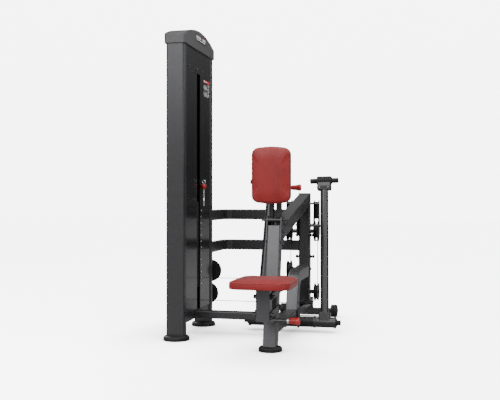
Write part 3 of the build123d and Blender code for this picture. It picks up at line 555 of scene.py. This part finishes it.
def stitch_row(name, outline, height, place, body):
    """Short thread stitches along the seam of a pad."""
    pitch = 0.0042
    shape = Matrix.Diagonal((0.0014, 0.0005, 0.0006, 1))  # half length, depth and height of a stitch
    work = bmesh.new()
    total = 0.0
    following = pitch
    for here, there in zip(outline, outline[1:] + outline[:1]):
        run = there - here
        while total + run.length >= following:
            spot = here + run * ((following - total) / run.length)
            turn = Matrix.Rotation(math.atan2(run.y, run.x), 4, "Z")
            matrix = Matrix.Translation((spot.x, spot.y, height)) @ turn @ shape
            bmesh.ops.create_icosphere(work, subdivisions=1, radius=1, matrix=matrix)
            following += pitch
        total += run.length
    mesh = mesh_from(work, name)
    mesh.transform(place)
    row = new_object(name, mesh)
    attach(row, body)
    dress(row, THREAD)


def pad_from_node(node, body, corner, arch, up, swell, shoulder):
    """Builds the cushion that stands for a CAD pad; up is Z for a seat and Y for a pad that faces -Y."""
    low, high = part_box(node)
    size = high - low
    centre = (low + high) / 2
    if up == "Z":
        width, height, thick = size.x, size.y, size.z
        place = Matrix.Translation((centre.x, centre.y, low.z))
    else:
        width, height, thick = size.x, size.z, size.y
        place = Matrix.Translation((centre.x, high.y, centre.z)) @ Matrix.Rotation(math.pi / 2, 4, "X")
    inside = 0.001  # keeps the swollen cover within the CAD pad's box
    rising_share = 0.2  # of the swell, which mostly fills the cover out instead of raising it
    outline = rounded_outline(width - inside, height - inside, corner, arch)
    cushion(node + "_cover", outline, thick - swell * rising_share, place, body, node, swell, shoulder)


pad_from_node("seat_pad", "seat", corner=0.075, arch=0.0, up="Z", swell=0.006, shoulder=(0.007, 0.02, 0.0035))
pad_from_node("chest_pad", "chest", corner=0.034, arch=0.014, up="Y", swell=0.006, shoulder=(0.014, 0.0, 0.0))


# ---- levers, grips and knobs ---------------------------------------------------------------------------
def flared_handle(name, node, body, bar_radius, small, large, grip_length):
    """A dark bar, a bright collar and a ribbed red grip that widens to its end, along +X."""
    low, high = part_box(node)
    axis = Vector((low.x, (low.y + high.y) / 2, (low.z + high.z) / 2))
    grip_start = high.x - low.x - grip_length
    along_x = (1, 0, 0)
    bar = lathe(name + "_bar", rounded_bar(grip_start - 0.006, bar_radius, 0.003), axis, along_x, body)
    # the bar takes the darkest painted-shade copy of the frame paint
    dress(bar, PAINT_DEEPER_PAINTED_SHADE)
    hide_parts(node)
    collar_place = axis + Vector((grip_start - 0.010, 0, 0))
    collar = lathe(name + "_collar", rounded_bar(0.011, bar_radius + 0.003, 0.002), collar_place, along_x, body)
    dress(collar, GROUND)
    profile = [(0, 0), (0, small * 0.8), (0.002, small)]
    ribs = 5
    for rib in range(ribs):
        along = 0.008 + (grip_length - 0.03) * rib / ribs
        reach = small + (large - small) * along / grip_length
        profile += [(along, reach), (along + 0.0015, reach - 0.0012), (along + 0.0035, reach - 0.0012),
                    (along + 0.005, reach + 0.0002)]
    profile += [(grip_length - 0.009, large), (grip_length - 0.004, large - 0.0006),
                (grip_length - 0.001, large - 0.003), (grip_length, large - 0.007),
                (grip_length - 0.0015, large - 0.009), (grip_length - 0.0015, 0)]
    grip = lathe(name + "_grip", profile, axis + Vector((grip_start, 0, 0)), along_x, body)
    dress(grip, GRIP_RED)


flared_handle("seat_release_lever", "seat_lever", "seat_release", bar_radius=0.012, small=0.0165, large=0.0222,
              grip_length=0.062)
flared_handle("pad_release_lever", "pad_lever", "pad_release", bar_radius=0.009, small=0.0145, large=0.0205,
              grip_length=0.060)


def pad_knob():
    """Pull pin with a knurled black knob, to the left of the housing."""
    low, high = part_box("pad_knob")
    start = Vector((high.x, (low.y + high.y) / 2, (low.z + high.z) / 2))
    length = high.x - low.x
    knob_length = 0.034
    stem = lathe("pad_knob_stem", rounded_bar(length - knob_length + 0.004, 0.005, 0.001), start, (-1, 0, 0),
                 "pad_latch")
    dress(stem, GROUND)
    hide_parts("pad_knob")

    def knurl(angle, along):
        return 0.035 * math.cos(12 * angle) if 0.008 < along < 0.03 else 0.0

    profile = [(0, 0), (0, 0.008), (0.004, 0.009), (0.007, 0.0135), (0.010, 0.0145), (0.020, 0.0145),
               (0.028, 0.0143), (0.0325, 0.0125), (knob_length, 0.009), (knob_length, 0)]
    knob = lathe("pad_knob_head", profile, start + Vector((knob_length - length, 0, 0)), (-1, 0, 0),
                 "pad_latch", 96, knurl)
    dress(knob, BLACK)


pad_knob()


def selector_pin():
    """Steel pin with a red knob and a bright eye, parked upright beside the stack."""
    low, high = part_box("selector_pin")
    foot = Vector(((low.x + high.x) / 2, (low.y + high.y) / 2, low.z))
    knob_at, knob_length, eye_at = 0.115, 0.034, 0.164  # along the pin, from its foot
    shaft = lathe("pin_shaft", [(0, 0), (0, 0.003), (0.006, 0.0053), (0.050, 0.0053), (0.051, 0.0047),
                                (0.054, 0.0047), (0.055, 0.0053), (0.116, 0.0053), (0.116, 0)],
                  foot, (0, 0, 1), "pin")
    dress(shaft, CHROME)
    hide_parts("selector_pin")

    def grooves(angle, along):
        return -0.04 * max(0.0, math.cos(9 * angle)) ** 4 if 0.006 < along < 0.028 else 0.0

    knob = lathe("pin_knob", [(0, 0), (0, 0.011), (0.003, 0.0145), (0.007, 0.0172), (0.017, 0.0182),
                              (0.027, 0.0172), (0.031, 0.0145), (knob_length, 0.010), (knob_length, 0)],
                 foot + Vector((0, 0, knob_at)), (0, 0, 1), "pin", 108, grooves)
    dress(knob, GRIP_RED)
    stem = lathe("pin_neck", [(0, 0), (0, 0.004), (0.006, 0.004), (0.0065, 0)],
                 foot + Vector((0, 0, knob_at + knob_length)), (0, 0, 1), "pin")
    dress(stem, CHROME)
    centre = foot + Vector((0, 0, eye_at))
    loop = [centre + 0.011 * Vector((math.cos(angle), 0, math.sin(angle))) for angle in ring_angles(36)]
    dress(sweep_tube("pin_eye", loop, 0.0024, "pin", closed=True), CHROME)


selector_pin()


# ---- handles, wheels and feet --------------------------------------------------------------------------
def arm_line(side):
    """The arm's pivot, and the direction from there to the middle of its handle."""
    pivot = Vector(joints[f"arm_{side}_swing"]["pos_m"])
    return pivot, (Vector(joints[f"handle_{side}_turn"]["pos_m"]) - pivot).normalized()


def t_handle(side):
    """Ribbed rubber hub with a ribbed grip on each side, over a bolted cradle on the arm."""
    joint = joints[f"handle_{side}_turn"]
    axis = Vector(joint["axis"]).normalized()
    centre = Vector(joint["pos_m"])
    body = f"grip_{side}"
    rise = arm_line(side)[1]
    turn = Matrix((axis, rise.cross(axis), rise)).transposed().to_4x4()
    cover = slab(f"cradle_cover_{side}", Vector((-0.0485, -0.031, -0.067)), Vector((0.0485, 0.031, -0.036)),
                 f"arm_{side}", 0.005)
    cover.data.transform(Matrix.Translation(centre) @ turn)
    dress(cover, BLACK)
    turn = turn.to_3x3()
    for across in (-0.03, 0.03):
        for face in (-1, 1):
            spot = centre + turn @ Vector((across, face * 0.0308, -0.052))
            bolt = lathe(f"cradle_bolt_{side}_{across:.2f}_{face}", rounded_bar(0.004, 0.006, 0.0012), spot,
                         turn @ Vector((0, face, 0)), f"arm_{side}", 20)
            dress(bolt, ZINC)
    hub_half = 0.054
    ribs, rib_margin = 7, 0.006
    profile = [(0, 0), (0, 0.021), (0.002, 0.0265), (0.004, 0.029)]
    pitch = (2 * hub_half - 2 * rib_margin) / ribs
    for rib in range(ribs):
        along = rib_margin + rib * pitch
        profile += [(along, 0.0298), (along + 0.0012, 0.0328), (along + pitch - 0.0032, 0.0328),
                    (along + pitch - 0.002, 0.0298)]
    end = 2 * hub_half
    profile += [(end - 0.004, 0.029), (end - 0.002, 0.0265), (end, 0.021), (end, 0)]
    hub = lathe(f"handle_hub_{side}", profile, centre - axis * hub_half, axis, body)
    dress(hub, RUBBER)
    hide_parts(f"handle_{side}")
    for way, label in ((-1, "near"), (1, "far")):
        grip = [(0, 0), (0, 0.0165), (0.002, 0.0178)]
        for ring in range(5):
            along = 0.006 + 0.0062 * ring
            grip += [(along, 0.0186), (along + 0.0012, 0.0176), (along + 0.003, 0.0176),
                     (along + 0.0042, 0.0186)]
        grip += [(0.040, 0.0188), (0.043, 0.0186), (0.0455, 0.0166), (0.0465, 0.012), (0.0465, 0)]
        start = centre + axis * way * (hub_half - 0.001)
        piece = lathe(f"handle_grip_{side}_{label}", grip, start, axis * way, body)
        dress(piece, RUBBER)


def rear_wheel(side, sign):
    """Rubber roller with a groove round its middle and a circle of plated studs on its outer face."""
    node = f"rear_wheel_{side}"
    low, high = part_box(node)
    radius = (high.z - low.z) / 2
    width = high.x - low.x
    centre = (low + high) / 2
    start = Vector((low.x, centre.y, centre.z))
    profile = [(0.004, 0.0101), (0.004, 0.024), (0.0, 0.027), (0.0, radius - 0.007),
               (0.0015, radius - 0.003), (0.0045, radius - 0.0008), (0.008, radius)]
    profile += [(width / 2 - 0.0025, radius), (width / 2 - 0.0015, radius - 0.002),
                (width / 2 + 0.0015, radius - 0.002), (width / 2 + 0.0025, radius)]
    profile += [(width - along, reach) for along, reach in reversed(profile[:7])]
    profile.append(profile[0])
    wheel = lathe(f"{node}_tyre", profile, start, (1, 0, 0), f"wheel_{side}")
    dress(wheel, RUBBER)
    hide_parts(node)
    face = high.x if sign > 0 else low.x
    stud_circle = 0.0335
    studs = []
    for angle in ring_angles(5):
        spot = Vector((face - sign * 0.001, centre.y + stud_circle * math.cos(angle),
                       centre.z + stud_circle * math.sin(angle)))
        studs.append(lathe("stud", [(0, 0), (0, 0.0042), (0.0013, 0.0036), (0.0013, 0)], spot, (sign, 0, 0),
                           f"wheel_{side}", 20))
    dress(join(f"{node}_hub_studs", studs, f"wheel_{side}"), ZINC)


def foot(name, centre, radius):
    """Stepped round rubber foot."""
    profile = [(0, 0), (0, radius - 0.006), (0.0015, radius - 0.0025), (0.005, radius - 0.001),
               (0.011, radius - 0.0015), (0.0125, radius - 0.004), (0.014, radius - 0.004),
               (0.0155, radius - 0.002), (0.022, radius - 0.0035), (0.0265, radius - 0.008),
               (0.0292, radius - 0.016), (0.0299, radius - 0.024), (0.0299, 0)]
    piece = lathe(name, profile, centre, (0, 0, 1), "frame", 72)
    return dress(piece, RUBBER)


for side, sign in (("left", -1), ("right", 1)):
    t_handle(side)
    rear_wheel(side, sign)

for end in ("front", "rear"):
    upright = middle(f"tower_upright_{end}")
    foot(f"tower_foot_{end}", Vector((upright.x, upright.y, 0)), 0.085)
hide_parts("rubber_feet")
foot("front_leg_foot", Vector((0, 0.004, 0)), 0.072)


# ---- cables to the arms --------------------------------------------------------------------------------
def arm_cable(side, sign):
    """The last cable run, from over the upper post pulley to the lug on the arm."""
    lug_reach, lug_half = 0.66, 0.013  # the lug's distance up the arm, and half its depth
    groove_radius = 0.052
    pulley = middle("post_upper_pulleys")
    start = Vector((sign * POST_PULLEY_X, pulley.y - 0.01, pulley.z + groove_radius))
    pivot, rise = arm_line(side)
    lug = pivot + rise * lug_reach
    end = Vector((sign * POST_PULLEY_X, lug.y + lug_half, lug.z))
    stretch_from = end.lerp(start, 0.06)  # the rings are packed close from here to the lug
    points = [start.lerp(stretch_from, step / 10) for step in range(10)]
    points += [stretch_from.lerp(end, step / 48) for step in range(49)]
    cable = sweep_tube(f"arm_cable_{side}", points, 0.0025, body=None)
    dress(cable, JACKET)
    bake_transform(cable)
    eye = lathe(f"cable_eye_{side}", rounded_bar(0.02, 0.0048, 0.0015), end + Vector((0, -0.004, 0)),
                (0, 1, 0), f"arm_{side}")
    dress(eye, GROUND)


def lifting_cables():
    """The two cables above the stack, as straight runs on the frame."""
    low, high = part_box("stack_cables")
    radius, steps = 0.003, 12
    runs = []
    for x in (low.x + radius, high.x - radius):
        points = [Vector((x, (low.y + high.y) / 2, low.z + (high.z - low.z) * step / steps))
                  for step in range(steps + 1)]
        runs.append(sweep_tube("lifting_cable", points, radius, "frame"))
    pair = dress(join("lifting_cables", runs, "frame"), JACKET)
    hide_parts("stack_cables")
    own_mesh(pair)


lifting_cables()


# ---- tower details -------------------------------------------------------------------------------------
def cap_badge():
    """A plain generic badge: a framed dark plate with light bars and one red bar."""
    low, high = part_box("tower_cap")
    face = high.x
    centre = Vector((face, (low.y + high.y) / 2, low.z + 0.078))
    bar_count, pitch, red_bar = 6, 0.0352, 3

    def mark(name, across, half, low_z, high_z):
        """A raised bar on the plate, placed from the badge's centre."""
        return slab(name, centre + Vector((0.0015, across - half, low_z)),
                    centre + Vector((0.0026, across + half, high_z)), "frame", 0.0004)

    def bar_mark(name, bar):
        return mark(name, pitch * (bar - (bar_count - 1) / 2), 0.0125, -0.004, 0.014)

    plate = slab("badge_plate", centre + Vector((0, -0.11, -0.022)), centre + Vector((0.0016, 0.11, 0.022)),
                 "frame", 0.0006)
    dress(plate, BLACK_INK)
    bars = [bar_mark(f"badge_bar_{bar}", bar) for bar in range(bar_count) if bar != red_bar]
    bars.append(mark("badge_rule", 0, 0.1, -0.014, -0.009))
    dress(join("badge_bars", bars, "frame"), WHITE_INK)
    dress(bar_mark("badge_accent", red_bar), RED_INK)


def placard_print():
    """Red header, generic figures and plain white lines on the instruction placard."""
    low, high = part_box("placard")
    face = high.x
    width = high.y - low.y
    height = high.z - low.z
    proud = 0.0006

    def patch(name, y0, y1, z0, z1):
        """A printed rectangle, its sides given as shares of the placard's width and height."""
        return slab(name, Vector((face - 0.0002, low.y + width * y0, low.z + height * z0)),
                    Vector((face + proud, low.y + width * y1, low.z + height * z1)), "frame")

    dress(patch("placard_header", 0.03, 0.97, 0.82, 0.97), RED_INK)
    white = [patch("header_block", 0.08, 0.26, 0.855, 0.935), patch("header_line", 0.34, 0.62, 0.88, 0.92)]
    for row in range(2):
        for column in range(3):
            y = 0.1 + 0.2 * column
            z = 0.42 - 0.36 * row
            white.append(patch(f"torso_{row}_{column}", y, y + 0.055, z + 0.08, z + 0.22))
            white.append(patch(f"head_{row}_{column}", y + 0.01, y + 0.045, z + 0.24, z + 0.29))
            white.append(patch(f"thigh_{row}_{column}", y + 0.05, y + 0.11, z + 0.07, z + 0.11))
            white.append(patch(f"shin_{row}_{column}", y + 0.09, y + 0.115, z, z + 0.08))
    for line in range(8):
        z = 0.72 - 0.085 * line
        white.append(patch(f"text_line_{line}", 0.7, 0.93 - 0.04 * (line % 3), z, z + 0.03))
    for piece in white:  # over the red header's face
        piece.location.x += 0.0003
    bpy.context.view_layer.update()
    dress(join("placard_figures", white, "frame"), WHITE_INK)


def weight_labels():
    """A numbered label beside each plate, on the edge of the rear panel."""
    low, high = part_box("rear_shroud")
    stack_low, stack_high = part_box("weight_plates")
    count = 13
    top_number, number_step = 10, 7
    pitch = (stack_high.z - stack_low.z) / count
    face = high.x
    left = low.y + 0.009
    label_width, label_half_height, print_depth = 0.026, 0.011, 0.0005
    labels = []
    digits = []
    for row in range(count):
        z = stack_low.z + pitch * (row + 0.5)
        labels.append(slab(f"label_{row}", Vector((face, left, z - label_half_height)),
                           Vector((face + print_depth, left + label_width, z + label_half_height)), "frame"))
        text = bpy.data.curves.new(f"number_{row}", "FONT")
        text.body = str(top_number + number_step * (count - 1 - row))
        text.size = 0.017
        text.extrude = 0.0002
        text.align_x = "CENTER"
        text.align_y = "CENTER"
        carrier = bpy.data.objects.new(f"number_{row}", text)
        scene.collection.objects.link(carrier)
        bpy.context.view_layer.update()
        mesh = bpy.data.meshes.new_from_object(carrier)
        bpy.data.objects.remove(carrier)
        upright_turn = Matrix.Rotation(math.pi / 2, 4, "Z") @ Matrix.Rotation(math.pi / 2, 4, "X")
        mesh.transform(Matrix.Translation((face + 0.0006, left + label_width / 2, z)) @ upright_turn)
        digits.append(new_object(f"digit_{row}", mesh, smooth=False))
    dress(join("weight_label_plates", labels, "frame"), BLACK_INK)
    dress(join("weight_label_numbers", digits, "frame"), WHITE_INK)


cap_badge()
placard_print()
weight_labels()


# ---- studs and pulley hangers --------------------------------------------------------------------------
def post_studs():
    """Studs with round nuts that stand out of the main post on both sides."""
    post_low, post_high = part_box("main_post")
    y = middle("main_post").y + 0.016  # behind the post's middle
    profile = [(0, 0), (0, 0.0125), (0.004, 0.0125), (0.0045, 0.0075), (0.014, 0.0075), (0.0145, 0.0115),
               (0.017, 0.0125), (0.025, 0.0125), (0.028, 0.0105), (0.0285, 0.006), (0.032, 0.0055), (0.032, 0)]
    stud_heights = (0.466, 0.625, 0.7)
    for side, sign in (("left", -1), ("right", 1)):
        face = post_high.x if sign > 0 else post_low.x
        for level, z in enumerate(stud_heights):
            stud = lathe(f"post_stud_{side}_{level}", profile, Vector((face, y, z)), (sign, 0, 0), "frame", 24)
            dress(stud, BLACK)


def pulley_hangers():
    """Two long leaves that hold each upper pulley from a bolt above it, and the web between them."""
    pulley = middle("post_upper_pulleys")
    y = pulley.y
    top = 0.86
    half_gap, leaf = 0.0165, 0.0025
    top_radius, bottom_radius = 0.028, 0.0476
    arc_steps = 16
    for side, sign in (("left", -1), ("right", 1)):
        for x, label in ((sign * (POST_PULLEY_X - half_gap - leaf), "inner"),
                         (sign * (POST_PULLEY_X + half_gap), "outer")):
            work = bmesh.new()
            ring = []
            for height, radius, turned in ((top, top_radius, 0), (pulley.z, bottom_radius, 1)):
                for step in range(arc_steps + 1):
                    angle = math.pi * (turned + step / arc_steps)
                    spot = (x, y + radius * math.cos(angle), height + radius * math.sin(angle))
                    ring.append(work.verts.new(spot))
            face = work.faces.new(ring)
            made = bmesh.ops.extrude_face_region(work, geom=[face])["geom"]
            for vert in (part for part in made if isinstance(part, bmesh.types.BMVert)):
                vert.co.x += sign * leaf
            bmesh.ops.recalc_face_normals(work, faces=work.faces)
            plate = new_object(f"pulley_hanger_{side}_{label}", mesh_from(work, "hanger"), smooth=False)
            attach(plate, "frame")
            dress(plate, BLACK)
        web_x = sign * POST_PULLEY_X
        web = slab(f"hanger_web_{side}", Vector((web_x - half_gap, y + 0.016, 0.748)),
                   Vector((web_x + half_gap, y + 0.02, 0.874)), "frame", 0.001)
        dress(web, BLACK)
        bolt = [(0, 0), (0, 0.007), (0.066, 0.007), (0.0665, 0.0105), (0.074, 0.0105), (0.0755, 0.009),
                (0.0755, 0)]
        pin = lathe(f"hanger_bolt_{side}", bolt, Vector((sign * 0.045, y, top)), (sign, 0, 0), "frame", 28)
        dress(pin, ZINC)


post_studs()
pulley_hangers()


# ---- weld beads ----------------------------------------------------------------------------------------
def weld_bead(name, points, body):
    """A closed bead of weld along points."""
    bead = sweep_tube(name, points, WELD_RADIUS, body, closed=True, sides=8)
    # the bead takes the darkest painted-shade copy of the frame paint
    dress(bead, PAINT_DEEPER_PAINTED_SHADE)


def tube_weld(name, centre, half, right, up):
    """A rippled bead round a square tube where it meets a face; half is the tube's half sizes."""
    outline = rounded_outline(2 * half[0] + WELD_RADIUS, 2 * half[1] + WELD_RADIUS, 0.008, 0.0, 220)
    points = []
    for index, point in enumerate(outline):
        ripple = 1 + 0.012 * math.sin(index * 1.7)
        points.append(centre + right * point.x * ripple + up * point.y * ripple)
    weld_bead(name, points, "frame")


X_AXIS = Vector((1, 0, 0))
Y_AXIS = Vector((0, 1, 0))
Z_AXIS = Vector((0, 0, 1))
beam_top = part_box("centre_beam")[1][2]
post = middle("main_post")
POST_HALF = 0.04  # half the width of the square posts
tube_weld("weld_main_post", Vector((0, post.y, beam_top)), (POST_HALF, POST_HALF), X_AXIS, Y_AXIS)
tube_weld("weld_pivot_post_back", Vector((0, post.y - POST_HALF, 0.365)), (POST_HALF, POST_HALF), X_AXIS,
          Z_AXIS)
for height, label in ((0.549, "lower"), (0.777, "upper")):
    tube_weld(f"weld_link_{label}", Vector((-POST_HALF, post.y, height)), (0.018, 0.038), Y_AXIS, Z_AXIS)

for side, sign in (("left", -1), ("right", 1)):
    arm_cable(side, sign)
    arm_pivot, arm_rise = arm_line(side)
    across_arm = basis(arm_rise)
    arm_radius = 0.029
    for reach, label in ((0.066, "foot"), (0.916, "head")):
        ring = [arm_pivot + arm_rise * reach
                + across_arm @ Vector((arm_radius * math.cos(angle), arm_radius * math.sin(angle), 0))
                for angle in ring_angles(60)]
        weld_bead(f"weld_arm_{label}_{side}", ring, f"arm_{side}")


# ---- floor, light and camera ---------------------------------------------------------------------------
def studio_world():
    """White to the camera; to the machine, a dim room that is brighter high up in front."""
    world = bpy.data.worlds.new("studio_world")
    world.use_nodes = True
    tree = world.node_tree
    background = tree.nodes["Background"]
    background.inputs["Color"].default_value = (1, 1, 1, 1)
    direction = tree.nodes.new("ShaderNodeTexCoord").outputs["Generated"]
    parts = tree.nodes.new("ShaderNodeSeparateXYZ")
    tree.links.new(direction, parts.inputs["Vector"])

    def ranged(source, start, end, low, high):
        """A number that runs smoothly from low to high while the source runs from start to end."""
        node = tree.nodes.new("ShaderNodeMapRange")
        node.interpolation_type = "SMOOTHSTEP"
        for label, value in (("From Min", start), ("From Max", end), ("To Min", low), ("To Max", high)):
            node.inputs[label].default_value = value
        tree.links.new(source, node.inputs["Value"])
        return node.outputs["Result"]

    def combine(operation, first, second):
        """One number of two."""
        node = tree.nodes.new("ShaderNodeMath")
        node.operation = operation
        tree.links.new(first, node.inputs[0])
        tree.links.new(second, node.inputs[1])
        return node.outputs["Value"]

    front = ranged(parts.outputs["Y"], -0.9, 0.5, 1.0, 0.12)
    above = ranged(parts.outputs["Z"], 0.0, 0.5, 0.3, 3.2)
    room = combine("MULTIPLY", front, above)
    seen = tree.nodes.new("ShaderNodeLightPath").outputs["Is Camera Ray"]
    white = ranged(seen, 0.0, 1.0, 0.0, 6.5)
    tree.links.new(combine("ADD", room, white), background.inputs["Strength"])
    return world


def studio():
    """Pale floor, soft lights and the camera."""
    floor_mesh = bpy.data.meshes.new("studio_floor")
    reach = 30
    floor_corners = [(-reach, -reach, 0), (reach, -reach, 0), (reach, reach, 0), (-reach, reach, 0)]
    floor_mesh.from_pydata(floor_corners, [], [(0, 1, 2, 3)])
    floor = bpy.data.objects.new("studio_floor", floor_mesh)
    scene.collection.objects.link(floor)
    floor.data.materials.append(pale_floor())

    scene.world = studio_world()

    target = Vector((-0.2, 0.5, 0.9))
    for name, place, size, power in (("key", (-1.6, -4.6, 3.4), 2.4, 75),
                                     ("top", (0.2, 0.2, 4.6), 3.0, 90),
                                     ("right", (4.4, -1.2, 2.2), 1.6, 30),
                                     ("back_left", (-4.2, 4.4, 3.0), 2.4, 190),
                                     ("back_right", (3.6, 5.2, 3.2), 2.0, 45)):
        lamp = bpy.data.lights.new(name, "AREA")
        lamp.shape = "SQUARE"
        lamp.size = size
        lamp.energy = power
        holder = bpy.data.objects.new(name, lamp)
        holder.location = place
        holder.rotation_euler = (target - Vector(place)).to_track_quat("-Z", "Y").to_euler()
        scene.collection.objects.link(holder)

    camera_data = bpy.data.cameras.new("camera")
    camera_data.sensor_width = 36
    camera_data.lens = 56.9
    camera_data.shift_y = -0.004
    camera = bpy.data.objects.new("camera", camera_data)
    camera.location = (0.953, -4.55, 0.9)
    sight = Vector((-0.23, 0.9732, 0))
    camera.rotation_euler = sight.to_track_quat("-Z", "Y").to_euler()
    scene.collection.objects.link(camera)
    scene.camera = camera


studio()
